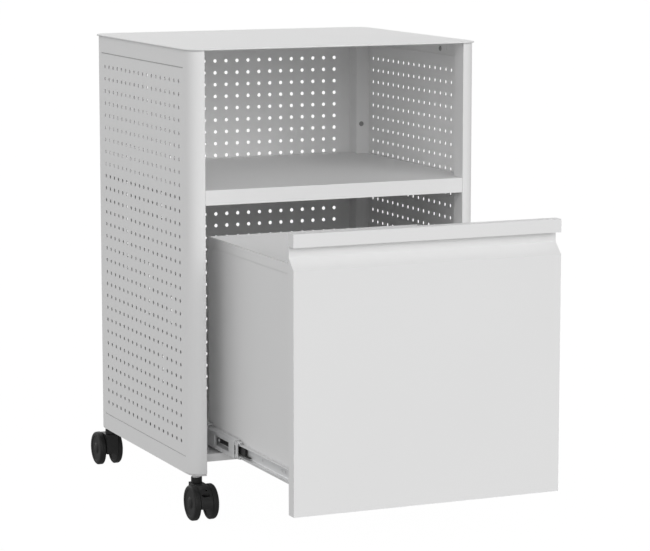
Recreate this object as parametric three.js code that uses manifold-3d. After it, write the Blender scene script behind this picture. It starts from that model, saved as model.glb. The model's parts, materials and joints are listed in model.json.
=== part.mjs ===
// A mobile steel cabinet: an open compartment above one deep file drawer, on four twin-wheel casters.
// Units are millimetres and +Z is up. The origin is on the floor, at the middle of the part's
// bounding box with the drawer pulled open. The cabinet's front faces -Y and its width runs along X.

import * as THREE from "three";
import { mergeVertices } from "three/addons/utils/BufferGeometryUtils.js";
import Module from "manifold-3d";

const wasm = await Module();
wasm.setup();

// ---------------------------------------------------------------- driving dimensions

const gap = 0.3;                 // clearance between pieces that touch
const sheet = 1.0;               // thickness of the body's sheet steel
const past = 1;                  // how far a cutting tool runs past the face that it opens
const sunk = 1;                  // how far two shapes run into each other where they become one piece

const bodyWidth = 437;
const bodyDepth = 394;
const bodyBottom = 60;           // underside of the frame, on top of the casters
const bodyTop = 652;             // underside of the top panel
const cornerRadius = 20.5;       // outer vertical corners of the posts
const topThickness = 2;
const topOverhang = 3;
const topSlit = 1.6;             // open joint between the top panel and the frame below it
const slitDepth = 6;

const postWidth = 21.5;          // along X
const postDepth = 27.6;          // along Y
const postWall = 1.2;
const plugFlange = 2.2;          // plastic plate between a post and its caster
const plugInsert = 18;           // length of the plug inside the post
const plugClearance = 0.4;       // all round, between the plug and the post's inner wall
const spigotRadius = 6.2;        // round foot of the plug that enters the caster's collar
const spigotBottom = 56;
const boreFit = gap;             // clearance round a stem or an axle in its bore

const railHeight = 23.6;         // face of a top or bottom rail
const seam = 1.5;                // open joint between a rail and a perforated panel
const seamBacking = 3.4;         // height of the set-back flange behind that joint
const backingOffset = 1.3;       // how far the flange is set back
const railFlange = 17;           // inward flange under the top panel

const shelfTop = 460;
const shelfLip = 21;             // height of the shelf's front edge
const lipReturn = 12;            // inward fold under that edge
const shelfFlange = 15;          // height of the shelf's side and back folds
const floorTop = 86.4;           // upper face of the bottom panel
const floorFlange = 11;
const floorSetback = 20;         // the bottom panel starts behind the closed drawer front

const drawerOpening = 300;       // how far the drawer stands open
const frontWidth = 388;
const frontBottom = 66;
const frontTop = 436;
const frontThickness = 18;
const frontSkin = 1.2;
const linerThickness = 1.0;
const handleLip = 17.8;          // height of the full-width handle lip
const recessTop = 32;            // depth below the top edge where the recess starts to slope forward
const recessBottom = 47.6;       // depth below the top edge where the slope meets the front face

const drawerHalfWidth = 164;     // outer face of a drawer side
const drawerBottom = 89.5;
const drawerTop = 385.7;
const drawerFloorThickness = 1.2;
const drawerRear = 376;          // distance of the drawer's back from the cabinet's front, closed
const fileRailHeight = 13.5;
const fileRailWidth = 4;
const fileRailWall = 1.2;

// Front end and length of each slide member, behind the cabinet's front, with the drawer closed.
const innerSpan = { setback: 20, length: 350 };
const middleSpan = { setback: 55, length: 320 };
const outerSpan = { setback: 52, length: 330 };
const cageSpan = { setback: 145, length: 90 };
const leverSpan = { setback: 227, length: 100 };
const slideThickness = 12.5;
const slideHeight = 104.3;       // height of the slide's centre line
const outerHalf = 17.5;          // half heights of the three slide members
const middleHalf = 13.5;
const innerHalf = 8.5;
const slideWall = 1.1;
const bracketHalf = 16.8;
const bracketSetback = 80;       // from the cabinet's front and from its rear
const outerToMiddle = 0.6;       // clearance between the webs of the outer and the middle member
const middleToCage = 0.5;        // clearance between the middle member's web and the ball cage
// Distances out from the inner member's back: the members' webs, their flanges and the lever.
const outerWeb = slideThickness;
const middleWeb = outerWeb - slideWall - outerToMiddle;
const cageWeb = middleWeb - slideWall - middleToCage;
const flangeWidth = 9.5;
const innerFlange = 7;
const leverInner = 2;
const leverOuter = 5.5;
const leverHalf = 3;             // half height of the lever's shank
const leverHead = { half: 5.2, length: 21, slope: 5 };
const leverFinger = { height: 1.6, length: 15 };
const innerHoles = [74.5, 86.5, 154.5, 300];
const innerHoleRadius = 2.4;
const middleShare = 1 / 3;       // share of the drawer's travel that the middle member makes
const cageHalf = 12;
// Windows in two of the webs; each starts behind its member's front end.
const middleWindow = { start: 20, length: 53, half: 6.5 };
const cageWindow = { start: 8, length: 74, half: 6.5 };

const wheelRadius = 25;
const wheelWidth = 9;
const hoodWidth = 17.6;
const wheelGap = 0.5;
const casterTrail = 18;          // distance of the axle from the swivel axis
const frontStemSetback = 13.8;   // swivel axis, from the cabinet's front
const rearStemSetback = 18.9;    // swivel axis, from the cabinet's rear
const stemRadius = 4;
const stemBottom = 34;
const stemReach = 16;            // length of the stem inside the plug
const collarRadius = 7.8;
const collarTop = 57.5;
const collarFloor = 55.6;        // bottom of the recess that the plug's foot enters
const axleRadius = 2.5;
const axleBite = 6.5;            // length of the axle inside each wheel
const hoodTop = 49.4;
const hoodBottom = 19.5;
const hoodReach = 8.5;           // distance of the hood's plain face from the swivel axis
const treadChamfer = 1;          // on the wheel's inner edge
const treadShoulder = 4;         // the wheel's outer edge, rounded in two steps
const treadStep = 1.2;

const cornerSteps = 8;           // faces in a quarter turn of a large corner
const hoodSteps = 10;
const turnedSides = 24;
const rodSides = 16;
const holeSides = 12;

// ---------------------------------------------------------------- derived positions

const halfWidth = bodyWidth / 2;
const openingHalf = halfWidth - postWidth;
const stemX = halfWidth - postWidth / 2;
const rearReach = bodyDepth - rearStemSetback + casterTrail + wheelRadius;
const frontY = (drawerOpening - rearReach) / 2;
const leftAndRight = [["left", -1], ["right", 1]];

// Y of a plane that lies `distance` behind the cabinet's front face.
const behind = (distance) => frontY + distance;

// ---------------------------------------------------------------- finishes

const finishes = {
  paint: { color: 0xd9dadb, roughness: 0.5, metalness: 0.0 },
  zinc: { color: 0xb4b8bc, roughness: 0.35, metalness: 0.9 },
  greyPlastic: { color: 0xb0b1b2, roughness: 0.6, metalness: 0.0 },
  blackPlastic: { color: 0x1c1c1d, roughness: 0.5, metalness: 0.0 },
  tyre: { color: 0x161617, roughness: 0.65, metalness: 0.0 },
};

// ---------------------------------------------------------------- geometry helpers

function shapeFrom(points) {
  return new THREE.Shape(points.map(([x, y]) => new THREE.Vector2(x, y)));
}

function extruded(points, length) {
  return new THREE.ExtrudeGeometry(shapeFrom(points), { depth: length, bevelEnabled: false, steps: 1 });
}

// An outline in (x, y), extruded upwards from z0 to z1.
function prismZ(points, z0, z1) {
  return extruded(points, z1 - z0).translate(0, 0, z0);
}

// An outline in (y, z), extruded along X from x0 to x1.
function prismX(points, x0, x1) {
  const turn = new THREE.Matrix4().makeBasis(
    new THREE.Vector3(0, 1, 0), new THREE.Vector3(0, 0, 1), new THREE.Vector3(1, 0, 0));
  return extruded(points, x1 - x0).applyMatrix4(turn).translate(x0, 0, 0);
}

// An outline in (x, z), extruded along Y from y0 to y1.
function prismY(points, y0, y1) {
  const turn = new THREE.Matrix4().makeBasis(
    new THREE.Vector3(1, 0, 0), new THREE.Vector3(0, 0, 1), new THREE.Vector3(0, -1, 0));
  return extruded(points, y1 - y0).applyMatrix4(turn).translate(0, y1, 0);
}

// A box between two limits on each axis, given in either order.
function box(xs, ys, zs) {
  const size = [xs, ys, zs].map(([a, b]) => Math.abs(b - a));
  const middle = [xs, ys, zs].map(([a, b]) => (a + b) / 2);
  return new THREE.BoxGeometry(...size).translate(...middle);
}

// A disc or rod about the Z axis.
function rodZ(radius, z0, z1, sides) {
  return new THREE.CylinderGeometry(radius, radius, z1 - z0, sides).rotateX(Math.PI / 2)
    .translate(0, 0, (z0 + z1) / 2);
}

// A disc or rod about the X axis.
function rodX(radius, x0, x1, sides) {
  return new THREE.CylinderGeometry(radius, radius, x1 - x0, sides).rotateZ(Math.PI / 2)
    .translate((x0 + x1) / 2, 0, 0);
}

function solid(geometry) {
  const bare = geometry.clone();
  bare.deleteAttribute("normal");
  bare.deleteAttribute("uv");
  const merged = mergeVertices(bare, 1e-4);
  return new wasm.Manifold(new wasm.Mesh({
    numProp: 3,
    vertProperties: new Float32Array(merged.attributes.position.array),
    triVerts: new Uint32Array(merged.index.array),
  }));
}

function geometryOf(manifold) {
  const mesh = manifold.getMesh();
  const geometry = new THREE.BufferGeometry();
  geometry.setAttribute("position", new THREE.BufferAttribute(new Float32Array(mesh.vertProperties), 3));
  geometry.setIndex(new THREE.BufferAttribute(new Uint32Array(mesh.triVerts), 1));
  geometry.computeVertexNormals();
  return geometry;
}

function cut(base, ...tools) {
  return geometryOf(tools.reduce((rest, tool) => rest.subtract(solid(tool)), solid(base)));
}

function joined(...pieces) {
  return geometryOf(pieces.slice(1).reduce((sum, piece) => sum.add(solid(piece)), solid(pieces[0])));
}

// Points of an arc, in degrees, from one angle to the other.
function arc(cx, cy, radius, from, to, steps) {
  return Array.from({ length: steps + 1 }, (_, i) => {
    const angle = THREE.MathUtils.degToRad(from + ((to - from) * i) / steps);
    return [cx + radius * Math.cos(angle), cy + radius * Math.sin(angle)];
  });
}

function add(parent, name, geometry, finish) {
  const mesh = new THREE.Mesh(geometry, new THREE.MeshStandardMaterial(finishes[finish]));
  mesh.name = name;
  parent.add(mesh);
  return mesh;
}

function addGroup(parent, x, y, z) {
  const group = new THREE.Group();
  group.position.set(x, y, z);
  parent.add(group);
  return group;
}

// ---------------------------------------------------------------- frame: posts and plugs

// A post's outline as (distance from the side face, distance from the front or rear face), shrunk by
// `inset` on every side. One corner is the cabinet's large outer corner.
function postOutline(inset) {
  const radius = cornerRadius - inset;
  const innerEdge = postWidth - inset;
  const arcReach = Math.min(0, innerEdge - cornerRadius);
  const lastAngle = 360 - THREE.MathUtils.radToDeg(Math.acos(arcReach / radius));
  const flatFace = arcReach < 0 ? [] : [[innerEdge, inset]];
  return [
    ...arc(cornerRadius, cornerRadius, radius, 180, lastAngle, cornerSteps),
    ...flatFace,
    [innerEdge, postDepth - inset],
    [inset, postDepth - inset],
  ];
}

// Moves a post outline to one of the four corners: side is -1 or 1, end is 0 in front and 1 behind.
function atCorner(outline, side, end) {
  return outline.map(([fromSide, fromFace]) => [
    side * (halfWidth - fromSide),
    end ? behind(bodyDepth - fromFace) : behind(fromFace),
  ]);
}

function post(side, end) {
  const bottom = bodyBottom + plugFlange + gap;
  const top = bodyTop - topSlit;
  const outer = prismZ(atCorner(postOutline(0), side, end), bottom, top);
  const bore = prismZ(atCorner(postOutline(postWall), side, end), bottom - past, top + past);
  return cut(outer, bore);
}

function postPlug(side, end) {
  const flangeTop = bodyBottom + plugFlange;
  const flange = prismZ(atCorner(postOutline(plugClearance), side, end), bodyBottom, flangeTop);
  const insert = prismZ(atCorner(postOutline(postWall + plugClearance), side, end),
    flangeTop - sunk, flangeTop + plugInsert);
  const spigot = rodZ(spigotRadius, spigotBottom, bodyBottom + sunk, turnedSides);
  const stemBore = rodZ(stemRadius + boreFit, spigotBottom - past, flangeTop + plugInsert + past, rodSides);
  const [x, y] = stemPosition(side, end);
  return cut(joined(flange, insert, spigot.translate(x, y, 0)), stemBore.translate(x, y, 0));
}

function stemPosition(side, end) {
  return [side * stemX, end ? behind(bodyDepth - rearStemSetback) : behind(frontStemSetback)];
}

// ---------------------------------------------------------------- frame: rails and panels

// Section of a rail as (distance in from the outer face, height above the rail's outer edge). The
// outer edge is the one at the top or bottom of the cabinet; the flange behind the seam is the other.
// A top rail also has a flange that runs inwards, and steps up to the top panel behind the slit.
function railSection(level) {
  const start = level === "top" ? topSlit - gap : 0;
  const edge = level === "top"
    ? [
      [slitDepth, start], [slitDepth, 0], [railFlange, 0], [railFlange, sheet],
      [slitDepth + sheet, sheet], [slitDepth + sheet, start + sheet], [sheet, start + sheet],
    ]
    : [[sheet, start]];
  return [
    [0, start],
    ...edge,
    [sheet, railHeight - sheet],
    [backingOffset + sheet, railHeight - sheet],
    [backingOffset + sheet, railHeight + seamBacking],
    [backingOffset, railHeight + seamBacking],
    [backingOffset, railHeight],
    [0, railHeight],
  ];
}

const railZ = {
  top: (height) => bodyTop - gap - height,
  bottom: (height) => bodyBottom + height,
};

function sideRail(side, level) {
  const outline = railSection(level).map(([depth, height]) => [
    side * (halfWidth - depth), railZ[level](height)]);
  return prismY(outline, behind(postDepth + gap), behind(bodyDepth - postDepth - gap));
}

function backRail(level) {
  const outline = railSection(level).map(([depth, height]) => [
    behind(bodyDepth - depth), railZ[level](height)]);
  return prismX(outline, -openingHalf + gap, openingHalf - gap);
}

const panelBottom = bodyBottom + railHeight + seam;
const panelTop = bodyTop - gap - railHeight - seam;

function sidePanel(side) {
  return box([side * (halfWidth - sheet), side * halfWidth],
    [behind(postDepth + gap), behind(bodyDepth - postDepth - gap)], [panelBottom, panelTop]);
}

function backPanel() {
  return box([-openingHalf + gap, openingHalf - gap],
    [behind(bodyDepth - sheet), behind(bodyDepth)], [panelBottom, panelTop]);
}

function topPanel() {
  const halfX = halfWidth + topOverhang;
  const radius = cornerRadius + topOverhang;
  const near = behind(-topOverhang) + radius;
  const far = behind(bodyDepth + topOverhang) - radius;
  const outline = [
    ...arc(halfX - radius, far, radius, 0, 90, cornerSteps),
    ...arc(-halfX + radius, far, radius, 90, 180, cornerSteps),
    ...arc(-halfX + radius, near, radius, 180, 270, cornerSteps),
    ...arc(halfX - radius, near, radius, 270, 360, cornerSteps),
  ];
  return prismZ(outline, bodyTop, bodyTop + topThickness);
}

// ---------------------------------------------------------------- frame: shelf and bottom panel

// Plan of a panel that fills the cabinet and is notched round the four posts.
function notchedPlan(frontDistance, inset) {
  const wide = halfWidth - backingOffset - sheet - 2 * gap - inset;
  const narrow = openingHalf - gap - inset;
  const near = behind(frontDistance + inset);
  const far = behind(bodyDepth - backingOffset - sheet - 2 * gap - inset);
  const nearNotch = behind(postDepth + gap + inset);
  const farNotch = behind(bodyDepth - postDepth - gap - inset);
  const right = [
    [narrow, near], [narrow, nearNotch], [wide, nearNotch],
    [wide, farNotch], [narrow, farNotch], [narrow, far],
  ];
  const left = right.map(([x, y]) => [-x, y]).reverse();
  return [...right, ...left];
}

// A sheet pan, open underneath, with its edges folded down.
function pan(frontDistance, top, flange) {
  return cut(
    prismZ(notchedPlan(frontDistance, 0), top - flange, top),
    prismZ(notchedPlan(frontDistance, sheet), top - flange - past, top - sheet));
}

function shelf() {
  const lipBottom = shelfTop - shelfLip;
  const lip = [
    [behind(0), lipBottom], [behind(lipReturn), lipBottom], [behind(lipReturn), lipBottom + sheet],
    [behind(sheet), lipBottom + sheet], [behind(sheet), shelfTop], [behind(0), shelfTop],
  ];
  return joined(pan(0, shelfTop, shelfFlange), prismX(lip, -openingHalf + gap, openingHalf - gap));
}

// ---------------------------------------------------------------- slides

// Where a slide part lies: distance out from the drawer side, on the left (-1) or right (1).
const slideX = (side, out) => side * (drawerHalfWidth + gap + out);

// A channel section: `back` is the web's outer distance from the drawer side and `lip` the flanges'
// free edge, both as distances out from the drawer side.
function channelSection(side, back, lip, half) {
  const inward = Math.sign(lip - back) * slideWall;
  return [
    [back, -half], [lip, -half], [lip, -half + slideWall], [back + inward, -half + slideWall],
    [back + inward, half - slideWall], [lip, half - slideWall], [lip, half], [back, half],
  ].map(([out, height]) => [slideX(side, out), slideHeight + height]);
}

function slideChannel(side, span, back, lip, half) {
  return prismY(channelSection(side, back, lip, half),
    behind(span.setback), behind(span.setback + span.length));
}

// A cutting block for a window in a member's web.
function webWindow(side, span, web, window) {
  const start = span.setback + window.start;
  return box([slideX(side, web - 2 * slideWall), slideX(side, web + slideWall)],
    [behind(start), behind(start + window.length)],
    [slideHeight - window.half, slideHeight + window.half]);
}

function outerMember(side) {
  return slideChannel(side, outerSpan, outerWeb, outerWeb - flangeWidth, outerHalf);
}

function middleMember(side) {
  return cut(
    slideChannel(side, middleSpan, middleWeb, middleWeb - flangeWidth, middleHalf),
    webWindow(side, middleSpan, middleWeb, middleWindow));
}

function innerMember(side) {
  const screwHoles = innerHoles.map((along) =>
    rodX(innerHoleRadius, -2 * slideWall, 2 * slideWall, holeSides)
      .translate(slideX(side, 0), behind(innerSpan.setback + along), slideHeight));
  return cut(slideChannel(side, innerSpan, 0, innerFlange, innerHalf), ...screwHoles);
}

function ballCage(side) {
  return cut(
    slideChannel(side, cageSpan, cageWeb, cageWeb - innerFlange, cageHalf),
    webWindow(side, cageSpan, cageWeb, cageWindow));
}

// Release lever inside the inner member's channel: a slim shank that turns a little about its rear end,
// a head that shows in front of the cage, and a finger along the head's lower edge.
function releaseLever(side) {
  const near = leverSpan.setback;
  const headEnd = near + leverHead.length;
  const outline = [
    [near - leverFinger.length, -leverHead.half],
    [headEnd, -leverHead.half],
    [headEnd + leverHead.slope, -leverHalf],
    [near + leverSpan.length, -leverHalf],
    [near + leverSpan.length, leverHalf],
    [headEnd + leverHead.slope, leverHalf],
    [headEnd, leverHead.half],
    [near, leverHead.half],
    [near, -leverHead.half + leverFinger.height],
    [near - leverFinger.length, -leverHead.half + leverFinger.height],
  ].map(([back, height]) => [behind(back), slideHeight + height]);
  const faces = [leverInner, leverOuter].map((out) => slideX(side, out)).sort((a, b) => a - b);
  return prismX(outline, ...faces);
}

// Open channel on the inside of the side panel that carries the slide's outer member.
function slideBracket(side) {
  const web = slideX(side, slideThickness + gap);
  const innerWeb = web + side * sheet;
  const edge = side * (halfWidth - sheet - gap);
  const section = [
    [edge, -bracketHalf], [web, -bracketHalf], [web, bracketHalf], [edge, bracketHalf],
    [edge, bracketHalf - sheet], [innerWeb, bracketHalf - sheet],
    [innerWeb, -bracketHalf + sheet], [edge, -bracketHalf + sheet],
  ].map(([x, height]) => [x, slideHeight + height]);
  return prismY(section, behind(bracketSetback), behind(bodyDepth - bracketSetback));
}

// ---------------------------------------------------------------- drawer, drawn closed

const shellDepth = frontThickness - linerThickness - gap;

// Folded front: a hollow lip to pull, a recess behind it for the fingers, and a flat face below.
function drawerFront() {
  const half = frontWidth / 2;
  const wall = shellDepth - frontSkin;
  const profile = [
    [0, frontTop], [0, frontTop - handleLip], [wall, frontTop - handleLip],
    [wall, frontTop - recessTop], [0, frontTop - recessBottom], [0, frontBottom],
    [shellDepth, frontBottom], [shellDepth, frontTop],
  ];
  const lipHollow = [
    [frontSkin, frontTop - frontSkin], [frontSkin, frontTop - handleLip + frontSkin],
    [shellDepth + past, frontTop - handleLip + frontSkin], [shellDepth + past, frontTop - frontSkin],
  ];
  const bodyHollow = [
    [frontSkin, frontTop - recessBottom - frontSkin / 2], [frontSkin, frontBottom + frontSkin],
    [shellDepth + past, frontBottom + frontSkin],
    [shellDepth + past, frontTop - recessTop - frontSkin],
    [wall, frontTop - recessTop - frontSkin],
  ];
  const placed = (outline) => outline.map(([back, z]) => [behind(back), z]);
  return cut(
    prismX(placed(profile), -half, half),
    prismX(placed(lipHollow), -half + frontSkin, half - frontSkin),
    prismX(placed(bodyHollow), -half + frontSkin, half - frontSkin));
}

function frontLiner() {
  const half = frontWidth / 2 - gap;
  return box([-half, half], [behind(frontThickness - linerThickness), behind(frontThickness)],
    [frontBottom + gap, frontTop - gap]);
}

const drawerNear = frontThickness + gap;
const drawerFar = drawerRear - sheet - gap;

function drawerSide(side) {
  return box([side * (drawerHalfWidth - sheet), side * drawerHalfWidth],
    [behind(drawerNear), behind(drawerRear)],
    [drawerBottom, drawerTop - fileRailWall - gap]);
}

// Inverted U over a drawer side's top edge, which carries hanging files.
function fileRail(side) {
  const outer = drawerHalfWidth + gap + fileRailWall;
  const inner = outer - fileRailWidth;
  const low = drawerTop - fileRailHeight;
  const innerLow = drawerTop - fileRailHeight / 2;
  const outline = [
    [outer, low], [outer, drawerTop], [inner, drawerTop], [inner, innerLow],
    [inner + fileRailWall, innerLow], [inner + fileRailWall, drawerTop - fileRailWall],
    [outer - fileRailWall, drawerTop - fileRailWall], [outer - fileRailWall, low],
  ].map(([x, z]) => [side * x, z]);
  return prismY(outline, behind(drawerNear), behind(drawerFar));
}

function drawerBack() {
  const half = drawerHalfWidth - sheet - gap;
  return box([-half, half], [behind(drawerRear - sheet), behind(drawerRear)], [drawerBottom, drawerTop]);
}

function drawerFloor() {
  const half = drawerHalfWidth - sheet - gap;
  return box([-half, half], [behind(drawerNear), behind(drawerFar)],
    [drawerBottom, drawerBottom + drawerFloorThickness]);
}

// ---------------------------------------------------------------- casters, about their swivel axis

// Stem with a collar that rests on the hood and cups the foot of the post's plug.
function casterStem() {
  const profile = [
    [0, stemBottom],
    [stemRadius, stemBottom],
    [stemRadius, hoodTop + gap],
    [collarRadius, hoodTop + gap],
    [collarRadius, collarTop],
    [spigotRadius + gap, collarTop],
    [spigotRadius + gap, collarFloor],
    [stemRadius, collarFloor],
    [stemRadius, bodyBottom + stemReach],
    [0, bodyBottom + stemReach],
  ].map(([radius, z]) => new THREE.Vector2(radius, z));
  return new THREE.LatheGeometry(profile, turnedSides).rotateX(Math.PI / 2);
}

// Body between the wheels: round over the axle on one side, plain on the stem's side, flat below.
function casterHood() {
  const radius = hoodTop - wheelRadius;
  const lowAngle = 180 + THREE.MathUtils.radToDeg(Math.asin((wheelRadius - hoodBottom) / radius));
  const outline = [
    ...arc(-casterTrail, wheelRadius, radius, lowAngle, 90, hoodSteps),
    [hoodReach, hoodTop],
    [hoodReach, hoodBottom],
  ];
  return cut(
    prismX(outline, -hoodWidth / 2, hoodWidth / 2),
    rodZ(stemRadius + boreFit, stemBottom - gap, hoodTop + past, rodSides),
    rodX(axleRadius + boreFit, -hoodWidth, hoodWidth, rodSides)
      .translate(0, -casterTrail, wheelRadius));
}

const wheelInner = hoodWidth / 2 + wheelGap;
const axleHalf = wheelInner + axleBite;

function casterAxle() {
  return rodX(axleRadius, -axleHalf, axleHalf, rodSides).translate(0, -casterTrail, wheelRadius);
}

// A wheel on one side of the hood, with a blind bore that faces the hood.
function casterWheel(side) {
  const profile = [
    [0, axleBite + gap],
    [axleRadius + boreFit, axleBite + gap],
    [axleRadius + boreFit, 0],
    [wheelRadius - treadChamfer, 0],
    [wheelRadius, treadChamfer],
    [wheelRadius, wheelWidth - treadShoulder],
    [wheelRadius - treadStep, wheelWidth - treadStep],
    [wheelRadius - treadShoulder, wheelWidth],
    [0, wheelWidth],
  ].map(([radius, out]) => new THREE.Vector2(radius, out));
  return new THREE.LatheGeometry(profile, turnedSides)
    .rotateZ(side > 0 ? -Math.PI / 2 : Math.PI / 2)
    .translate(side * wheelInner, -casterTrail, wheelRadius);
}

// ---------------------------------------------------------------- assembly

const cabinet = new THREE.Group();
const frontAndRear = [["front", 0], ["rear", 1]];

add(cabinet, "top_panel", topPanel(), "paint");
add(cabinet, "shelf", shelf(), "paint");
add(cabinet, "bottom_panel", pan(floorSetback, floorTop, floorFlange), "paint");
add(cabinet, "back_perforated_panel", backPanel(), "paint");
add(cabinet, "back_top_rail", backRail("top"), "paint");
add(cabinet, "back_bottom_rail", backRail("bottom"), "paint");

const drawer = addGroup(cabinet, 0, -drawerOpening, 0);
add(drawer, "drawer_front", drawerFront(), "paint");
add(drawer, "drawer_front_liner", frontLiner(), "paint");
add(drawer, "drawer_back", drawerBack(), "paint");
add(drawer, "drawer_bottom", drawerFloor(), "paint");

const middleOpening = drawerOpening * middleShare;
const cageOpening = (drawerOpening + middleOpening) / 2;

for (const [name, side] of leftAndRight) {
  add(cabinet, `${name}_perforated_panel`, sidePanel(side), "paint");
  add(cabinet, `${name}_top_rail`, sideRail(side, "top"), "paint");
  add(cabinet, `${name}_bottom_rail`, sideRail(side, "bottom"), "paint");
  add(cabinet, `${name}_slide_bracket`, slideBracket(side), "paint");
  add(cabinet, `${name}_slide_outer`, outerMember(side), "zinc");
  add(addGroup(cabinet, 0, -middleOpening, 0), `${name}_slide_middle`, middleMember(side), "zinc");
  add(addGroup(cabinet, 0, -cageOpening, 0), `${name}_ball_cage`, ballCage(side), "zinc");
  add(drawer, `${name}_slide_inner`, innerMember(side), "zinc");
  add(drawer, `${name}_release_lever`, releaseLever(side), "blackPlastic");
  add(drawer, `drawer_${name}_side`, drawerSide(side), "paint");
  add(drawer, `drawer_${name}_file_rail`, fileRail(side), "paint");

  for (const [place, end] of frontAndRear) {
    const corner = `${place}_${name}`;
    add(cabinet, `${corner}_post`, post(side, end), "paint");
    add(cabinet, `${corner}_post_plug`, postPlug(side, end), "greyPlastic");
    const caster = addGroup(cabinet, ...stemPosition(side, end), 0);
    caster.rotation.z = end ? Math.PI : 0;
    add(caster, `${corner}_caster_stem`, casterStem(), "blackPlastic");
    add(caster, `${corner}_caster_hood`, casterHood(), "blackPlastic");
    add(caster, `${corner}_caster_axle`, casterAxle(), "zinc");
    for (const [hand, handSide] of leftAndRight) {
      const local = end ? -handSide : handSide;
      add(caster, `${corner}_caster_${hand}_wheel`, casterWheel(local), "tyre");
    }
  }
}

export default cabinet;
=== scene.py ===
"""A mobile steel cabinet: an open compartment above a deep file drawer, on twin-wheel casters.

Everything is in metres, +Z up, with the cabinet's front towards -Y. Each piece takes its place from
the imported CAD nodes.
"""

import json
import math

import bmesh
import bpy
from mathutils import Euler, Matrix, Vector


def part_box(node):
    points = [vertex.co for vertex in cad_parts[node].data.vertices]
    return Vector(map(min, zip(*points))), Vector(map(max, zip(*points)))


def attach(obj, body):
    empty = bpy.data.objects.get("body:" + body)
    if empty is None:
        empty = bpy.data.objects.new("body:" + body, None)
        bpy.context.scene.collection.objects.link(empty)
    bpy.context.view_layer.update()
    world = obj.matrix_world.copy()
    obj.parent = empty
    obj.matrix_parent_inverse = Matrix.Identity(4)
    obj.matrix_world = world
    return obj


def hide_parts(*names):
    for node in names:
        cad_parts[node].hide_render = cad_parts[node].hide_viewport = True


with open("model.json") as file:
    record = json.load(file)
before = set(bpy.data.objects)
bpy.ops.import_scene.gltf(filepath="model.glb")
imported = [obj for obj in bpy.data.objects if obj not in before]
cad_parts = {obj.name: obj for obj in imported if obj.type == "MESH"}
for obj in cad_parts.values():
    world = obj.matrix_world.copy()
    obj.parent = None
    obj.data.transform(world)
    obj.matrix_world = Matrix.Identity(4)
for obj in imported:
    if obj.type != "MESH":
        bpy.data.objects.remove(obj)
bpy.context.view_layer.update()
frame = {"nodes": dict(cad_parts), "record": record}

scene = bpy.context.scene
MM = 0.001
SIDES = (("left", -1), ("right", 1))
CORNERS = [(f"{place}_{side}", place) for place in ("front", "rear") for side in ("left", "right")]


# ------------------------------------------------------------------ camera

CAMERA_AT = (-1.5509, -3.5377, 0.8995)
CAMERA_YAW = math.radians(23.784)      # to the right of +Y
CAMERA_PITCH = math.radians(-8.495)
CAMERA_LENS = 151.55

camera_data = bpy.data.cameras.new("camera")
camera_data.sensor_width = 36.0
camera_data.lens = CAMERA_LENS
camera_data.clip_end = 200.0
camera = bpy.data.objects.new("camera", camera_data)
camera.location = CAMERA_AT
camera.rotation_euler = Euler((math.pi / 2 + CAMERA_PITCH, 0.0, -CAMERA_YAW), "XYZ")
scene.collection.objects.link(camera)
scene.camera = camera


# ------------------------------------------------------------------ materials

def blank_material(name):
    material = bpy.data.materials.new(name)
    material.use_nodes = True
    return material, material.node_tree.nodes, material.node_tree.links


def noise(nodes, links, scale, detail, stretch=(1, 1, 1)):
    """Noise in the object's own coordinates, stretched along each axis."""
    coordinates = nodes.new("ShaderNodeTexCoord")
    mapping = nodes.new("ShaderNodeMapping")
    mapping.inputs["Scale"].default_value = stretch
    texture = nodes.new("ShaderNodeTexNoise")
    texture.inputs["Scale"].default_value = scale
    texture.inputs["Detail"].default_value = detail
    links.new(coordinates.outputs["Object"], mapping.inputs["Vector"])
    links.new(mapping.outputs["Vector"], texture.inputs["Vector"])
    return texture.outputs["Fac"]


def spread(nodes, links, value, low, high):
    """The noise value remapped to run from low to high."""
    remap = nodes.new("ShaderNodeMapRange")
    remap.inputs["From Min"].default_value = 0.3
    remap.inputs["From Max"].default_value = 0.7
    remap.inputs["To Min"].default_value = low
    remap.inputs["To Max"].default_value = high
    links.new(value, remap.inputs["Value"])
    return remap.outputs["Result"]


def toned(nodes, links, value, dark, light):
    """A colour between two greys, chosen by the noise value."""
    ramp = nodes.new("ShaderNodeValToRGB")
    ramp.color_ramp.elements[0].position = 0.3
    ramp.color_ramp.elements[1].position = 0.7
    ramp.color_ramp.elements[0].color = (*dark, 1)
    ramp.color_ramp.elements[1].color = (*light, 1)
    links.new(value, ramp.inputs["Fac"])
    return ramp.outputs["Color"]


def bumped(nodes, links, value, strength, distance):
    bump = nodes.new("ShaderNodeBump")
    bump.inputs["Strength"].default_value = strength
    bump.inputs["Distance"].default_value = distance
    links.new(value, bump.inputs["Height"])
    return bump.outputs["Normal"]


def surface(name, dark, light, roughness, grain, metallic=0.0, specular=0.5, bump=(0.1, 0.0001)):
    """A surface with broad changes of tone, and fine grain in its gloss and relief.

    roughness is a pair, low and high; grain is the fine noise's scale, detail and stretch.
    """
    material, nodes, links = blank_material(name)
    shader = nodes["Principled BSDF"]
    shader.inputs["Metallic"].default_value = metallic
    shader.inputs["Specular IOR Level"].default_value = specular
    broad = noise(nodes, links, 5.0, 3.0)
    fine = noise(nodes, links, *grain)
    links.new(toned(nodes, links, broad, dark, light), shader.inputs["Base Color"])
    links.new(spread(nodes, links, fine, *roughness), shader.inputs["Roughness"])
    links.new(bumped(nodes, links, fine, *bump), shader.inputs["Normal"])
    return material


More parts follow.
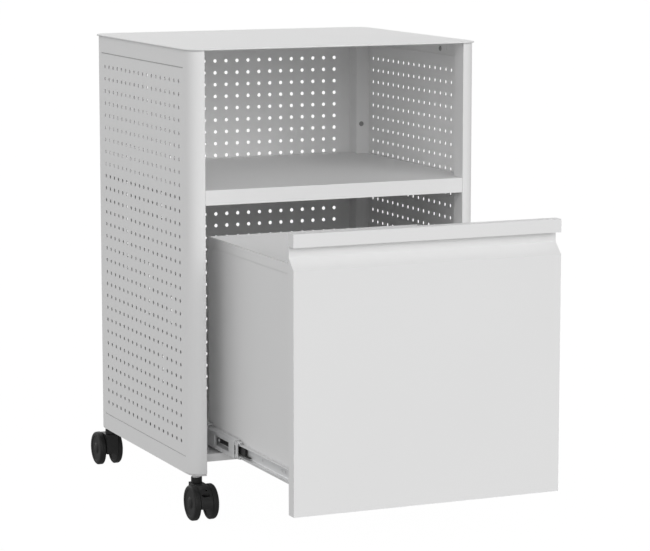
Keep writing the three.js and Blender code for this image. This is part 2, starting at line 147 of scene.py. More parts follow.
PAINT = surface("powder_coat", (0.875, 0.875, 0.875), (0.885, 0.885, 0.885),
                (0.46, 0.56), (650.0, 2.0), specular=0.35, bump=(0.12, 0.00012))
ZINC = surface("bright_zinc", (0.80, 0.805, 0.81), (0.86, 0.865, 0.87),
               (0.28, 0.42), (420.0, 3.0, (1, 0.05, 1)), metallic=0.35, bump=(0.15, 0.0001))
DARK_STEEL = surface("dark_steel", (0.34, 0.34, 0.34), (0.40, 0.40, 0.40),
                     (0.3, 0.42), (600.0, 2.0), metallic=0.3, bump=(0.05, 0.00005))
STEEL = surface("ball_steel", (0.60, 0.61, 0.62), (0.66, 0.67, 0.68),
                (0.12, 0.2), (600.0, 2.0), metallic=1.0, bump=(0.02, 0.00005))
GREY_PLASTIC = surface("grey_plastic", (0.72, 0.72, 0.72), (0.75, 0.75, 0.75),
                       (0.5, 0.62), (900.0, 2.0), specular=0.35)
BLACK_PLASTIC = surface("black_plastic", (0.013, 0.013, 0.013), (0.018, 0.018, 0.018),
                        (0.38, 0.52), (1100.0, 3.0), specular=0.4, bump=(0.2, 0.0001))
TYRE = surface("wheel_nylon", (0.012, 0.012, 0.012), (0.017, 0.017, 0.017),
               (0.46, 0.6), (800.0, 3.0), specular=0.35, bump=(0.2, 0.0001))
# A darker grey that paints shade: the shadowed insides of the side panels' holes and the shadowed groove
# at the rails' seams.
PAINTED_SHADE = surface("painted_shade", (0.50, 0.50, 0.50), (0.58, 0.58, 0.58),
                       (0.6, 0.75), (900.0, 2.0), specular=0.2)

MATERIALS = {
    "body_paint": PAINT,
    "drawer_paint": PAINT,
    "zinc_steel": ZINC,
    "grey_plastic": GREY_PLASTIC,
    "black_plastic": BLACK_PLASTIC,
    "tyre": TYRE,
}


# ------------------------------------------------------------------ mesh helpers

def mesh_object(name, verts, faces):
    mesh = bpy.data.meshes.new(name)
    mesh.from_pydata([tuple(v) for v in verts], [], faces)
    mesh.validate()
    piece = bpy.data.objects.new(name, mesh)
    scene.collection.objects.link(piece)
    return piece


def clean_normals(piece):
    """Joins vertices that coincide and points all faces outwards."""
    edit = bmesh.new()
    edit.from_mesh(piece.data)
    bmesh.ops.remove_doubles(edit, verts=edit.verts, dist=1e-7)
    bmesh.ops.recalc_face_normals(edit, faces=edit.faces)
    edit.to_mesh(piece.data)
    edit.free()


def arc(centre, radius, start, end, steps):
    """Points of an arc, with its angles in degrees."""
    angles = [math.radians(start + (end - start) * i / steps) for i in range(steps + 1)]
    return [(centre[0] + radius * math.cos(a), centre[1] + radius * math.sin(a)) for a in angles]


def extrude_y(name, outline, near, far):
    """A closed (x, z) outline extruded along Y."""
    count = len(outline)
    verts = [(x, near, z) for x, z in outline] + [(x, far, z) for x, z in outline]
    faces = [tuple(range(count)), tuple(range(2 * count - 1, count - 1, -1))]
    for i in range(count):
        j = (i + 1) % count
        faces.append((i, i + count, j + count, j))
    piece = mesh_object(name, verts, faces)
    clean_normals(piece)
    return piece


def lathe(name, profile, origin, axis, segments=64):
    """A closed body turned about an axis. profile holds (distance along the axis, radius) pairs and
    starts and ends on the axis. axis is the direction that the distances run."""
    turn = Vector((0, 0, 1)).rotation_difference(Vector(axis)).to_matrix()
    verts, faces, rings = [], [], []
    for along, radius in profile:
        first = len(verts)
        if radius < 1e-9:
            verts.append(Vector((0, 0, along)))
            rings.append([first] * segments)
            continue
        for i in range(segments):
            angle = 2 * math.pi * i / segments
            verts.append(Vector((radius * math.cos(angle), radius * math.sin(angle), along)))
        rings.append(list(range(first, first + segments)))
    for low, high in zip(rings, rings[1:]):
        for i in range(segments):
            j = (i + 1) % segments
            corners = list(dict.fromkeys((low[i], low[j], high[j], high[i])))
            if len(corners) > 2:
                faces.append(tuple(corners))
    piece = mesh_object(name, [turn @ v + Vector(origin) for v in verts], faces)
    clean_normals(piece)
    return piece


def apply_modifiers(piece):
    depsgraph = bpy.context.evaluated_depsgraph_get()
    mesh = bpy.data.meshes.new_from_object(piece.evaluated_get(depsgraph))
    piece.modifiers.clear()
    piece.data = mesh


def carve(piece, *cutters):
    """Cuts the cutters out of a piece and removes them."""
    for cutter in cutters:
        boolean = piece.modifiers.new("cut", "BOOLEAN")
        boolean.operation = "DIFFERENCE"
        boolean.solver = "EXACT"
        boolean.object = cutter
        apply_modifiers(piece)
        bpy.data.objects.remove(cutter)


def block(name, low, high):
    """A cutter box between two corners."""
    (x0, y0, z0), (x1, y1, z1) = low, high
    outline = [(x0, z0), (x1, z0), (x1, z1), (x0, z1)]
    return extrude_y(name, outline, y0, y1)


def round_edges(piece, width, segments=2, angle=30.0):
    """Rounds the piece's sharp edges, keeps its flat faces flat and smooths the rest."""
    bevel = piece.modifiers.new("edges", "BEVEL")
    bevel.width = width
    bevel.segments = segments
    bevel.limit_method = "ANGLE"
    bevel.angle_limit = math.radians(angle)
    smooth(piece, angle)


def smooth(piece, angle=30.0):
    piece.data.shade_smooth()
    weighted = piece.modifiers.new("normals", "WEIGHTED_NORMAL")
    weighted.keep_sharp = True
    weighted.weight = 100
    if not any(m.type == "BEVEL" for m in piece.modifiers):
        piece.data.set_sharp_from_angle(angle=math.radians(angle))


def place(piece, body, slot, material, *nodes):
    """Gives a finished piece its material and body, and hides the CAD nodes that it stands for."""
    piece.data.materials.clear()
    piece.data.materials.append(material)
    if nodes:
        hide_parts(*nodes)
    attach(piece, body)
    return piece


BODY_OF = {node: body for body, members in frame["record"]["behaviour"]["bodies"].items()
           for node in members}
SLOT_OF = {part["node"]: part["material_slot"] for part in frame["record"]["subparts"]}


def stand_for(piece, node):
    """Places a piece as its CAD node is placed: same body, and the finish of the node's slot."""
    return place(piece, BODY_OF[node], SLOT_OF[node], MATERIALS[SLOT_OF[node]], node)


def copy_of(node, name):
    """A copy of a CAD node's mesh, with its flat faces whole again."""
    piece = bpy.data.objects.new(name, frame["nodes"][node].data.copy())
    scene.collection.objects.link(piece)
    edit = bmesh.new()
    edit.from_mesh(piece.data)
    bmesh.ops.remove_doubles(edit, verts=edit.verts, dist=2e-6)
    bmesh.ops.dissolve_limit(edit, angle_limit=math.radians(0.5), verts=edit.verts,
                             edges=edit.edges)
    bmesh.ops.recalc_face_normals(edit, faces=edit.faces)
    edit.to_mesh(piece.data)
    edit.free()
    return piece


# ------------------------------------------------------------------ perforated panels

HOLE_PITCH = 18 * MM
HOLE_RADIUS = 2.75 * MM
HOLE_SIDES = 16
SIDE_COLUMNS = 18
BACK_COLUMNS = 20
HOLE_ROWS = 29
JOINT = 0.3 * MM                       # the CAD's clearance between a panel or rail and its posts


def perforated_sheet(width, height, columns):
    """Vertices and faces of one side of a sheet, centred on the origin, with a grid of round holes.

    Also returns each hole's ring of vertices."""
    verts, faces, rings = [], [], []

    def vertex(x, y):
        verts.append((x, y))
        return len(verts) - 1

    half_width, half_height = columns * HOLE_PITCH / 2, HOLE_ROWS * HOLE_PITCH / 2
    xs = [-half_width + HOLE_PITCH * i for i in range(columns + 1)]
    ys = [-half_height + HOLE_PITCH * i for i in range(HOLE_ROWS + 1)]
    grid_xs = [-width / 2, *xs, width / 2]
    grid_ys = [-height / 2, *ys, height / 2]
    grid = [[vertex(x, y) for x in grid_xs] for y in grid_ys]
    for row in range(len(grid_ys) - 1):
        for column in range(len(grid_xs) - 1):
            corners = (grid[row][column], grid[row][column + 1],
                       grid[row + 1][column + 1], grid[row + 1][column])
            margin = (row in (0, len(grid_ys) - 2)) or (column in (0, len(grid_xs) - 2))
            if margin:
                faces.append(corners)
                continue
            centre_x = (grid_xs[column] + grid_xs[column + 1]) / 2
            centre_y = (grid_ys[row] + grid_ys[row + 1]) / 2
            ring = [vertex(x, y) for x, y in arc((centre_x, centre_y), HOLE_RADIUS, -135,
                                                 225 - 360 / HOLE_SIDES, HOLE_SIDES - 1)]
            rings.append(ring)
            quarter = HOLE_SIDES // 4
            for k in range(4):
                side = [ring[(k * quarter + i) % HOLE_SIDES] for i in range(quarter + 1)]
                faces.append((corners[k], corners[(k + 1) % 4], *reversed(side)))
    return verts, faces, rings


def perforated_panel(node, name, columns, edge):
    """A sheet with round holes, standing where its CAD node stands and meeting the posts beside it.

    edge is the material of the holes' walls; on the side panels it is the darker grey that paints the
    shade inside the holes."""
    low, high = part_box(node)
    size = high - low
    middle = (low + high) / 2
    across = 0 if size.y < size.x else 1           # the axis that the holes' columns run along
    thin = 1 - across
    flat, outline_faces, rings = perforated_sheet(size[across] + 2 * JOINT, size.z, columns)
    count = len(flat)
    verts = []
    for offset in (-size[thin] / 2, size[thin] / 2):
        for u, v in flat:
            point = middle.copy()
            point[across] += u
            point[thin] += offset
            point.z += v
            verts.append(point)
    faces = list(outline_faces)
    faces += [tuple(i + count for i in reversed(face)) for face in outline_faces]
    boundary = rim(outline_faces, rings)
    faces += [(a, b, b + count, a + count) for a, b in boundary]
    first_wall = len(faces)
    for ring in rings:
        for i, vertex in enumerate(ring):
            following = ring[(i + 1) % len(ring)]
            faces.append((vertex, following, following + count, vertex + count))
    piece = mesh_object(name, verts, faces)
    clean_normals(piece)
    piece.data.shade_smooth()
    piece.data.set_sharp_from_angle(angle=math.radians(40))
    stand_for(piece, node)
    piece.data.materials.append(edge)
    for face in piece.data.polygons[first_wall:]:
        face.material_index = 1
    return piece


def rim(faces, rings):
    """The outline's outer edges: those used by one face only and not on a hole."""
    on_hole = {vertex for ring in rings for vertex in ring}
    uses = {}
    for face in faces:
        for a, b in zip(face, face[1:] + face[:1]):
            uses.setdefault(frozenset((a, b)), []).append((a, b))
    return [pairs[0] for pairs in uses.values()
            if len(pairs) == 1 and not (pairs[0][0] in on_hole and pairs[0][1] in on_hole)]


# The side panels' hole walls get the darker grey as painted shade; the back panel's hole walls keep the
# plain paint.
for side, _ in SIDES:
    perforated_panel(f"{side}_perforated_panel", f"{side}_panel", SIDE_COLUMNS, PAINTED_SHADE)
perforated_panel("back_perforated_panel", "back_panel", BACK_COLUMNS, PAINT)


# ------------------------------------------------------------------ sheet-metal pieces with softened edges

SHEET = 1.0 * MM
TOP_EDGE = 0.7 * MM                    # rounding of the top panel's edges
FRONT_EDGE = 0.5 * MM
EDGE = 0.35 * MM
STEM_EDGE = 0.4 * MM
FAINT_EDGE = 0.15 * MM                 # where two pieces meet flush
SLIT_LIFT = 1.1 * MM                   # narrows the slit under the top panel
RAIL_EDGE_DROP = 1.3 * MM              # from a top rail's upper face down to its outer edge
SEAM_SETBACK = 1.3 * MM                # from a rail's outer face to the flange behind the seam
SAME_PLANE = 0.05 * MM
FOLD_CUT_ALONG = 67 * MM               # from a side rail's front end to the cut in its inner face
FOLD_CUT_HALF = 0.7 * MM
FOLD_CUT_DEPTH = 0.8 * MM
FOLD_CUT_HEIGHTS = (636 * MM, 649 * MM)

# The axis across each rail and panel, and the way out of the cabinet along it.
WAY_OUT = {"left": (0, -1), "right": (0, 1), "back": (1, 1)}

ROUNDED_NODES = {
    "top_panel": TOP_EDGE,
    "shelf": EDGE,
    "bottom_panel": EDGE,
    "drawer_front": FRONT_EDGE,
    "drawer_front_liner": EDGE,
    "drawer_back": EDGE,
    "drawer_bottom": EDGE,
}
for where in WAY_OUT:
    ROUNDED_NODES[f"{where}_top_rail"] = FAINT_EDGE
    ROUNDED_NODES[f"{where}_bottom_rail"] = FAINT_EDGE
for side, _ in SIDES:
    ROUNDED_NODES[f"{side}_slide_bracket"] = EDGE
    ROUNDED_NODES[f"drawer_{side}_side"] = EDGE
    ROUNDED_NODES[f"drawer_{side}_file_rail"] = EDGE
for corner, _ in CORNERS:
    ROUNDED_NODES[f"{corner}_post"] = FAINT_EDGE
    ROUNDED_NODES[f"{corner}_post_plug"] = EDGE
    ROUNDED_NODES[f"{corner}_caster_stem"] = STEM_EDGE


def narrow_slit(piece, level):
    """Lifts the faces at one level to just below the top panel."""
    for vertex in piece.data.vertices:
        if abs(vertex.co.z - level) < SAME_PLANE:
            vertex.co.z += SLIT_LIFT


def meet_posts(piece, axis):
    """Lengthens a rail along an axis so that its ends close the joint with the posts."""
    ends = [vertex.co[axis] for vertex in piece.data.vertices]
    middle = (max(ends) + min(ends)) / 2
    for vertex in piece.data.vertices:
        vertex.co[axis] += JOINT if vertex.co[axis] > middle else -JOINT


def cut_fold(piece, node, outward):
    """Cuts a short upright notch into the inner face of a top side rail."""
    low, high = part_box(node)
    inner_face = (high.x if outward > 0 else low.x) - outward * SHEET
    middle = low.y + FOLD_CUT_ALONG
    carve(piece, block("fold",
                       (inner_face - FOLD_CUT_DEPTH, middle - FOLD_CUT_HALF, FOLD_CUT_HEIGHTS[0]),
                       (inner_face + FOLD_CUT_DEPTH, middle + FOLD_CUT_HALF, FOLD_CUT_HEIGHTS[1])))


def shade_seam(piece, axis, outward):
    """Paints shade on the flange behind a rail's seam: its outer face gets the darker grey that stands for
    the shadow in the narrow groove.
    """
    outer = max(outward * vertex.co[axis] for vertex in piece.data.vertices)
    piece.data.materials.append(PAINTED_SHADE)
    for face in piece.data.polygons:
        depth = outer - outward * face.center[axis]
        if abs(depth - SEAM_SETBACK) < SAME_PLANE and outward * face.normal[axis] > 0.9:
            face.material_index = 1


for node, width in ROUNDED_NODES.items():
    piece = copy_of(node, f"{node}_formed")
    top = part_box(node)[1].z
    is_rail = node.endswith(("_top_rail", "_bottom_rail"))
    where = node.partition("_")[0]
    if node.endswith("_post"):
        narrow_slit(piece, top)
    if node.endswith("_top_rail"):
        narrow_slit(piece, top - RAIL_EDGE_DROP)
    if is_rail:
        meet_posts(piece, 1 - WAY_OUT[where][0])
    if node.endswith("_top_rail") and where != "back":
        cut_fold(piece, node, WAY_OUT[where][1])
    round_edges(piece, width)
    stand_for(piece, node)
    # The rails' seam flanges get painted shade.
    if is_rail:
        shade_seam(piece, *WAY_OUT[where])


# ------------------------------------------------------------------ slides

WALL = 1.1 * MM
CAGE_WALL = 1.0 * MM
OUTER_BEND = 3.2 * MM
MIDDLE_BEND = 3.0 * MM
INNER_BEND = 2.2 * MM
CAGE_BEND = 1.6 * MM
MEMBER_EDGE = 0.25 * MM
INNER_EDGE = 0.2 * MM
CAGE_EDGE = 0.15 * MM
LEVER_EDGE = 0.5 * MM
BALL_RADIUS = 1.85 * MM
BALL_INSET = 3.4 * MM                  # from the outside of the cage's web to the balls' middles
BALL_HEIGHT = 10.4 * MM                # above and below the slide's centre line
BALL_SPACING = 18 * MM
BALL_START = 4 * MM                    # first seat, behind the cage's front end
BALLS_IN_ROW = 5
SEAT_RADIUS = 1.5 * MM
EYE_RADIUS = 1.9 * MM                  # rolled eyes at the cage's front end
EYE_BORE = 1.0 * MM
EYE_LENGTH = 5.0 * MM
WINDOW_HALF = 6.5 * MM
MIDDLE_WINDOW = (20 * MM, 73 * MM)     # start and end, behind the member's front end
CAGE_WINDOW = (8 * MM, 82 * MM)
SCREW_HOLES = [along * MM for along in (74.5, 86.5, 154.5, 300)]
SCREW_HOLE_RADIUS = 2.4 * MM
CUT_REACH = 3 * MM                     # half length of the tools that cut holes and windows in a web
SEAT_REACH = 2.5 * MM
EYE_ROUND = 0.4 * MM
RIVET_SETBACK = 4 * MM                 # from the lever's rear end
# The rivet's profile in millimetres: height above the lever's face and radius.
RIVET_PROFILE = ((-1, 0), (-1, 2.4), (0.3, 2.4), (0.8, 1.8), (1.0, 0))


def channel_outline(web, lip, low, high, wall, bend):
    """A C-shaped section with round bends, as (x, z) points."""
    way = 1 if lip > web else -1
    turns = (90, 180, 270) if way > 0 else (90, 0, -90)

    def path(inset):
        radius = bend - inset
        x = web + way * bend
        upper = arc((x, high - bend), radius, turns[0], turns[1], 6)
        lower = arc((x, low + bend), radius, turns[1], turns[2], 6)
        return [(lip, high - inset), *upper, *lower, (lip, low + inset)]

    return path(0) + path(wall)[::-1]


def slide_member(node, name, web_outside, wall, bend):
    """A rolled slide member. web_outside says whether the web is on the side away from the drawer."""
    low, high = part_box(node)
    outer_x, inner_x = (low.x, high.x) if low.x < 0 else (high.x, low.x)
    web, lip = (outer_x, inner_x) if web_outside else (inner_x, outer_x)
    outline = channel_outline(web, lip, low.z, high.z, wall, bend)
    return extrude_y(name, outline, low.y, high.y)


def cross_rod(name, x, y, z, radius, reach):
    """A rod along X, used to cut round holes."""
    return lathe(name, [(-reach, 0), (-reach, radius), (reach, radius), (reach, 0)],
                 (x, y, z), (1, 0, 0), 24)


def sphere_rings(centre, radius, rings=10, segments=16):
    """Vertices and faces of one ball."""
    profile = [(-radius * math.cos(math.pi * i / rings), radius * math.sin(math.pi * i / rings))
               for i in range(rings + 1)]
    verts = [Vector(centre) + Vector((0, 0, -radius))]
    for z, r in profile[1:-1]:
        verts += [Vector(centre) + Vector((r * math.cos(2 * math.pi * k / segments),
                                           r * math.sin(2 * math.pi * k / segments), z))
                  for k in range(segments)]
    verts.append(Vector(centre) + Vector((0, 0, radius)))
    last = len(verts) - 1
    faces = []
    for k in range(segments):
        j = (k + 1) % segments
        faces.append((0, 1 + j, 1 + k))
        faces.append((last, last - segments + k, last - segments + j))
        for row in range(rings - 2):
            base = 1 + row * segments
            faces.append((base + k, base + j, base + segments + j, base + segments + k))
    return verts, faces


def balls(name, centres, radius):
    verts, faces = [], []
    for centre in centres:
        ball_verts, ball_faces = sphere_rings(centre, radius)
        start = len(verts)
        verts += ball_verts
        faces += [tuple(i + start for i in face) for face in ball_faces]
    piece = mesh_object(name, verts, faces)
    clean_normals(piece)
    piece.data.shade_smooth()
    return piece


def web_window(web_x, start, window, centre_z):
    """A cutter for a window through a member's web."""
    return block("window", (web_x - CUT_REACH, start + window[0], centre_z - WINDOW_HALF),
                 (web_x + CUT_REACH, start + window[1], centre_z + WINDOW_HALF))


def eye_ring(name, at, body):
    """A rolled eye at the cage's front end, open towards the front."""
    x, y, z = at
    profile = [(0, EYE_BORE), (EYE_LENGTH, EYE_BORE), (EYE_LENGTH, EYE_RADIUS - EYE_ROUND),
               (EYE_LENGTH - EYE_ROUND, EYE_RADIUS), (0, EYE_RADIUS), (0, EYE_BORE)]
    piece = lathe(name, profile, (x, y + EYE_LENGTH / 2, z), (0, -1, 0), 32)
    smooth(piece, 50)
    return place(piece, body, "zinc_steel", ZINC)


for side, sign in SIDES:
    low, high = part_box(f"{side}_slide_middle")
    centre_z = (low.z + high.z) / 2
    outer = slide_member(f"{side}_slide_outer", f"{side}_outer_member", True, WALL, OUTER_BEND)
    round_edges(outer, MEMBER_EDGE)
    stand_for(outer, f"{side}_slide_outer")

    middle = slide_member(f"{side}_slide_middle", f"{side}_middle_member", True, WALL, MIDDLE_BEND)
    web_x = low.x if sign < 0 else high.x
    carve(middle, web_window(web_x, low.y, MIDDLE_WINDOW, centre_z))
    round_edges(middle, MEMBER_EDGE)
    stand_for(middle, f"{side}_slide_middle")

    inner = slide_member(f"{side}_slide_inner", f"{side}_inner_member", False, WALL, INNER_BEND)
    low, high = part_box(f"{side}_slide_inner")
    drawer_x = high.x if sign < 0 else low.x
    carve(inner, *[cross_rod("hole", drawer_x, low.y + along, centre_z, SCREW_HOLE_RADIUS, CUT_REACH)
                   for along in SCREW_HOLES])
    round_edges(inner, INNER_EDGE)
    stand_for(inner, f"{side}_slide_inner")

    cage_node = f"{side}_ball_cage"
    cage = slide_member(cage_node, f"{side}_cage", True, CAGE_WALL, CAGE_BEND)
    low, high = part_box(cage_node)
    web_x = low.x if sign < 0 else high.x
    seats = [(low.y + BALL_START + BALL_SPACING * i, centre_z + level * BALL_HEIGHT)
             for i in range(BALLS_IN_ROW) for level in (-1, 1)]
    carve(cage, web_window(web_x, low.y, CAGE_WINDOW, centre_z),
          *[cross_rod("seat", web_x, y, z, SEAT_RADIUS, SEAT_REACH) for y, z in seats])
    round_edges(cage, CAGE_EDGE)
    stand_for(cage, cage_node)
    ball_x = web_x - sign * BALL_INSET
    bearing = balls(f"{side}_balls", [(ball_x, y, z) for y, z in seats[2:]], BALL_RADIUS)
    place(bearing, BODY_OF[cage_node], "zinc_steel", STEEL)
    for level, (_, z) in zip(("low", "high"), seats[:2]):
        eye_ring(f"{side}_cage_eye_{level}", (ball_x, low.y, z), BODY_OF[cage_node])

    lever_node = f"{side}_release_lever"
    lever = copy_of(lever_node, f"{side}_lever")
    round_edges(lever, LEVER_EDGE, 3)
    stand_for(lever, lever_node)
    low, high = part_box(lever_node)
    rivet = lathe(f"{side}_lever_rivet", [(along * MM, radius * MM) for along, radius in RIVET_PROFILE],
                  (low.x if sign < 0 else high.x, high.y - RIVET_SETBACK, centre_z), (sign, 0, 0), 24)
    smooth(rivet, 50)
    place(rivet, BODY_OF[lever_node], "zinc_steel", ZINC)


# ------------------------------------------------------------------ casters

HOOD_EDGE = 0.6 * MM
DIMPLE_RADIUS = 1.5 * MM
DIMPLE_ASIDE = 1.6 * MM                # from the hood's middle
DIMPLE_REACH = 6 * MM
DIMPLE_HEIGHT = 45.2 * MM
DIMPLE_BACK = 9 * MM                   # behind the hood's round face
SLOT_ACROSS = (-5.2 * MM, 4.8 * MM)
SLOT_HEIGHTS = (36.6 * MM, 40.4 * MM)
SLOT_DEPTH = 6.2 * MM
WHEEL_BORE = 2.8 * MM
BORE_DEPTH = 6.8 * MM
INNER_ROUND = 0.9 * MM                 # rounding of the tread's inner edge
OUTER_ROUND = 3.3 * MM                 # rounding of the tread's outer edge
OUTER_ROUND_START = 3.6 * MM           # from the outer face to where that rounding starts
# A wheel's faces in millimetres, from the bore to the tread inside and from the tread to the axis
# outside. A point is the depth below the face and a radius: HUB points are measured from the axis
# and RIM points in from the tread.
INNER_HUB = ((0, 7), (1.2, 8))
INNER_RIM = ((1.2, 5), (0, 4), (0, 1))
OUTER_RIM = ((0.2, 4.2), (0.2, 6.4), (1.2, 7.2))
OUTER_HUB = ((1.6, 8.6), (0.9, 7.8), (0.2, 5.5), (0, 3), (0, 0))


def wheel(node, name, outward):
    """A caster wheel: rounded tread, dished outer face with a raised ring and a hub cap."""
    low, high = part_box(node)
    width = high.x - low.x
    radius = (high.z - low.z) / 2
    origin = (low.x if outward > 0 else high.x, (low.y + high.y) / 2, (low.z + high.z) / 2)
    profile = [
        (BORE_DEPTH, 0), (BORE_DEPTH, WHEEL_BORE), (0, WHEEL_BORE),
        *[(depth * MM, reach * MM) for depth, reach in INNER_HUB],
        *[(depth * MM, radius - reach * MM) for depth, reach in INNER_RIM],
        *[(INNER_ROUND - INNER_ROUND * math.cos(a), radius - INNER_ROUND + INNER_ROUND * math.sin(a))
          for a in map(math.radians, (30, 60, 90))],
        *[(width - OUTER_ROUND_START + OUTER_ROUND * math.sin(a),
           radius - OUTER_ROUND + OUTER_ROUND * math.cos(a))
          for a in map(math.radians, range(0, 90, 15))],
        *[(width - depth * MM, radius - reach * MM) for depth, reach in OUTER_RIM],
        *[(width - depth * MM, reach * MM) for depth, reach in OUTER_HUB],
    ]
    piece = lathe(name, profile, origin, (outward, 0, 0), 72)
    smooth(piece, 38)
    return stand_for(piece, node)


def hood(node, name, trail):
    """The body between the wheels, with a slot and a dimple on its round face."""
    low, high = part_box(node)
    piece = copy_of(node, name)
    middle = (low + high) / 2
    face_y = low.y if trail < 0 else high.y
    reach = sorted((face_y + trail * SLOT_DEPTH, face_y - trail * SLOT_DEPTH))
    slot_low = Vector((middle.x + SLOT_ACROSS[0], reach[0], SLOT_HEIGHTS[0]))
    slot_high = Vector((middle.x + SLOT_ACROSS[1], reach[1], SLOT_HEIGHTS[1]))
    dimple_y = face_y - trail * DIMPLE_BACK
    dimple = lathe("dimple", [(-DIMPLE_REACH, 0), (-DIMPLE_REACH, DIMPLE_RADIUS),
                              (DIMPLE_REACH, DIMPLE_RADIUS), (DIMPLE_REACH, 0)],
                   (middle.x + DIMPLE_ASIDE, dimple_y, DIMPLE_HEIGHT), (0, trail * 0.6, 0.8), 20)
    carve(piece, block("slot", slot_low, slot_high), dimple)
    round_edges(piece, HOOD_EDGE)
    return stand_for(piece, node)


for corner, end in CORNERS:
    trail = -1 if end == "front" else 1
    hood(f"{corner}_caster_hood", f"{corner}_hood", trail)
    for hand, outward in SIDES:
        wheel(f"{corner}_caster_{hand}_wheel", f"{corner}_{hand}_wheel_turned", outward)
    axle = frame["nodes"][f"{corner}_caster_axle"]
    axle.data.materials.clear()
    axle.data.materials.append(ZINC)


# ------------------------------------------------------------------ screws

SCREW_RADIUS = 3.8 * MM
POST_SCREW_HEIGHT = 506 * MM
POST_SCREW_ASIDE = 2.5 * MM            # from the post's middle towards the cabinet's middle
RAIL_SCREW_HEIGHT = 637 * MM
RAIL_SCREW_ALONG = 88 * MM             # from the rail's front end
SHANK_LENGTH = 0.8 * MM
# Shares of the head's radius, apart from the cross's depth, which is a share of the head's height.
HEAD_HEIGHT = 0.55
SHANK_RADIUS = 0.45
CROSS_LENGTH = 0.62
CROSS_WIDTH = 0.14
CROSS_DEPTH = 0.8


def pan_screw(name, at, direction):
    """A pan-head screw with a cross recess, fixed to the cabinet. at is on the face under the head."""
    height = SCREW_RADIUS * HEAD_HEIGHT
    shank = SCREW_RADIUS * SHANK_RADIUS
    dome = [(height * math.sin(math.radians(a)), SCREW_RADIUS * math.cos(math.radians(a)))
            for a in (20, 40, 60, 80)]
    profile = [(-SHANK_LENGTH, 0), (-SHANK_LENGTH, shank), (0, shank), (0, SCREW_RADIUS), *dome,
               (height, 0)]
    piece = lathe(name, profile, at, direction, 32)
    face = Vector(at) + Vector(direction) * height
    across = [axis for axis in range(3) if abs(direction[axis]) < 0.5]
    for long_axis, short_axis in (across, across[::-1]):
        reach = [height * CROSS_DEPTH] * 3
        reach[long_axis] = SCREW_RADIUS * CROSS_LENGTH
        reach[short_axis] = SCREW_RADIUS * CROSS_WIDTH
        carve(piece, block("cross", face - Vector(reach), face + Vector(reach)))
    smooth(piece, 30)
    return place(piece, "cabinet", "zinc_steel", DARK_STEEL)


for side, sign in SIDES:
    low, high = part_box(f"rear_{side}_post")
    post_middle = (low.x + high.x) / 2
    pan_screw(f"{side}_post_screw",
              (post_middle - sign * POST_SCREW_ASIDE, low.y, POST_SCREW_HEIGHT),
              (0, -1, 0))
    low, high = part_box(f"{side}_top_rail")
    rail_face = (high.x if sign > 0 else low.x) - sign * SHEET
    pan_screw(f"{side}_rail_screw", (rail_face, low.y + RAIL_SCREW_ALONG, RAIL_SCREW_HEIGHT),
              (-sign, 0, 0))


# ------------------------------------------------------------------ floor and light

# Soft light from the world: direction it comes from, how tightly it is gathered, and strength.
SOFT_LIGHTS = [
    ((-1.0, 0.0, 0.0), 1, 0.22),
    ((0.0, 1.0, 0.0), 1, 1.53),
    ((0.62, -0.75, 0.20), 4, 1.0),
    ((-0.62, -0.75, 0.20), 4, 1.3),
    ((-0.35, -0.85, 0.40), 30, 0.8),
    ((0.3, -0.9, 0.3), 30, 4.9),
]
BACKDROP_STRENGTH = 1.05


def math_node(nodes, links, operation, value, operand):
    node = nodes.new("ShaderNodeMath")
    node.operation = operation
    node.inputs[1].default_value = operand
    links.new(value, node.inputs[0])
    return node.outputs["Value"]


def combined(nodes, links, operation, first, second):
    node = nodes.new("ShaderNodeMath")
    node.operation = operation
    links.new(first, node.inputs[0])
    links.new(second, node.inputs[1])
    return node.outputs["Value"]


def soft_light(nodes, links, direction, way, gather, strength):
    """Light that is strongest from one direction of the world and fades around it."""
    dot = nodes.new("ShaderNodeVectorMath")
    dot.operation = "DOT_PRODUCT"
    dot.inputs[1].default_value = way
    links.new(direction, dot.inputs[0])
    facing = math_node(nodes, links, "MAXIMUM", dot.outputs["Value"], 0.0)
    gathered = math_node(nodes, links, "POWER", facing, gather)
    return math_node(nodes, links, "MULTIPLY", gathered, strength)


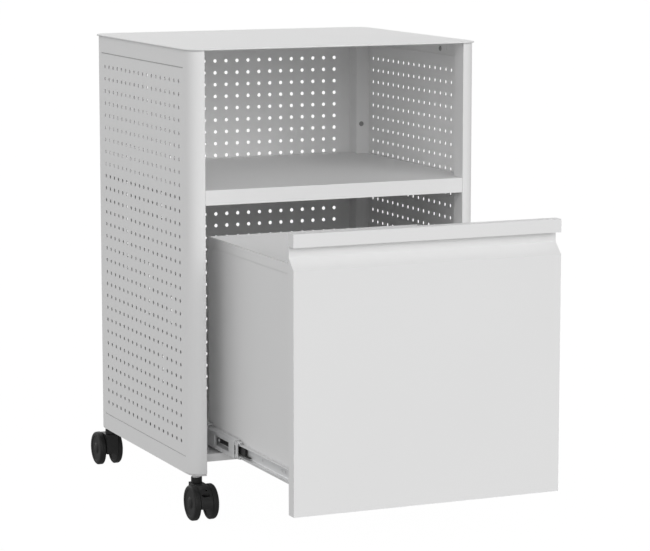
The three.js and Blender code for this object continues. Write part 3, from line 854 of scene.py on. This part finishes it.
world = bpy.data.worlds.new("studio")
scene.world = world
world.use_nodes = True
world_nodes, world_links = world.node_tree.nodes, world.node_tree.links
sky_direction = world_nodes.new("ShaderNodeTexCoord").outputs["Generated"]
lights = [soft_light(world_nodes, world_links, sky_direction, *light) for light in SOFT_LIGHTS]
total = lights[0]
for light in lights[1:]:
    total = combined(world_nodes, world_links, "ADD", total, light)
height = world_nodes.new("ShaderNodeSeparateXYZ")
world_links.new(sky_direction, height.inputs["Vector"])
above_horizon = math_node(world_nodes, world_links, "GREATER_THAN", height.outputs["Z"], 0.0)
lit = combined(world_nodes, world_links, "MULTIPLY", total, above_horizon)
studio = world_nodes["Background"]
studio.inputs["Color"].default_value = (1, 1, 1, 1)
world_links.new(lit, studio.inputs["Strength"])
backdrop = world_nodes.new("ShaderNodeBackground")
backdrop.inputs["Strength"].default_value = BACKDROP_STRENGTH
path = world_nodes.new("ShaderNodeLightPath")
mix = world_nodes.new("ShaderNodeMixShader")
world_links.new(path.outputs["Is Camera Ray"], mix.inputs["Fac"])
world_links.new(studio.outputs["Background"], mix.inputs[1])
world_links.new(backdrop.outputs["Background"], mix.inputs[2])
world_links.new(mix.outputs["Shader"], world_nodes["World Output"].inputs["Surface"])

FLOOR_RADIUS = 60.0
FLOOR_THICKNESS = 0.02
FLOOR_WHITE = 0.99                     # how bright the floor looks
FLOOR_GLOW = 0.31                      # how much light it throws back on the cabinet

floor = lathe("floor", [(-FLOOR_THICKNESS, 0), (-FLOOR_THICKNESS, FLOOR_RADIUS), (0, FLOOR_RADIUS),
                        (0, 0)], (0, 0, 0), (0, 0, 1), 64)
floor_material, floor_nodes, floor_links = blank_material("pale_floor")
floor_shader = floor_nodes["Principled BSDF"]
floor_shader.inputs["Base Color"].default_value = (0.02, 0.02, 0.02, 1)
floor_shader.inputs["Roughness"].default_value = 0.9
floor_shader.inputs["Specular IOR Level"].default_value = 0.0
floor_shader.inputs["Emission Color"].default_value = (1, 1, 1, 1)
floor_path = floor_nodes.new("ShaderNodeLightPath")
whiter = math_node(floor_nodes, floor_links, "MULTIPLY", floor_path.outputs["Is Camera Ray"],
                   FLOOR_WHITE - FLOOR_GLOW)
floor_light = math_node(floor_nodes, floor_links, "ADD", whiter, FLOOR_GLOW)
floor_links.new(floor_light, floor_shader.inputs["Emission Strength"])
floor_material.cycles.emission_sampling = "NONE"
floor.data.materials.append(floor_material)

scene.view_settings.view_transform = "Standard"
scene.view_settings.look = "None"
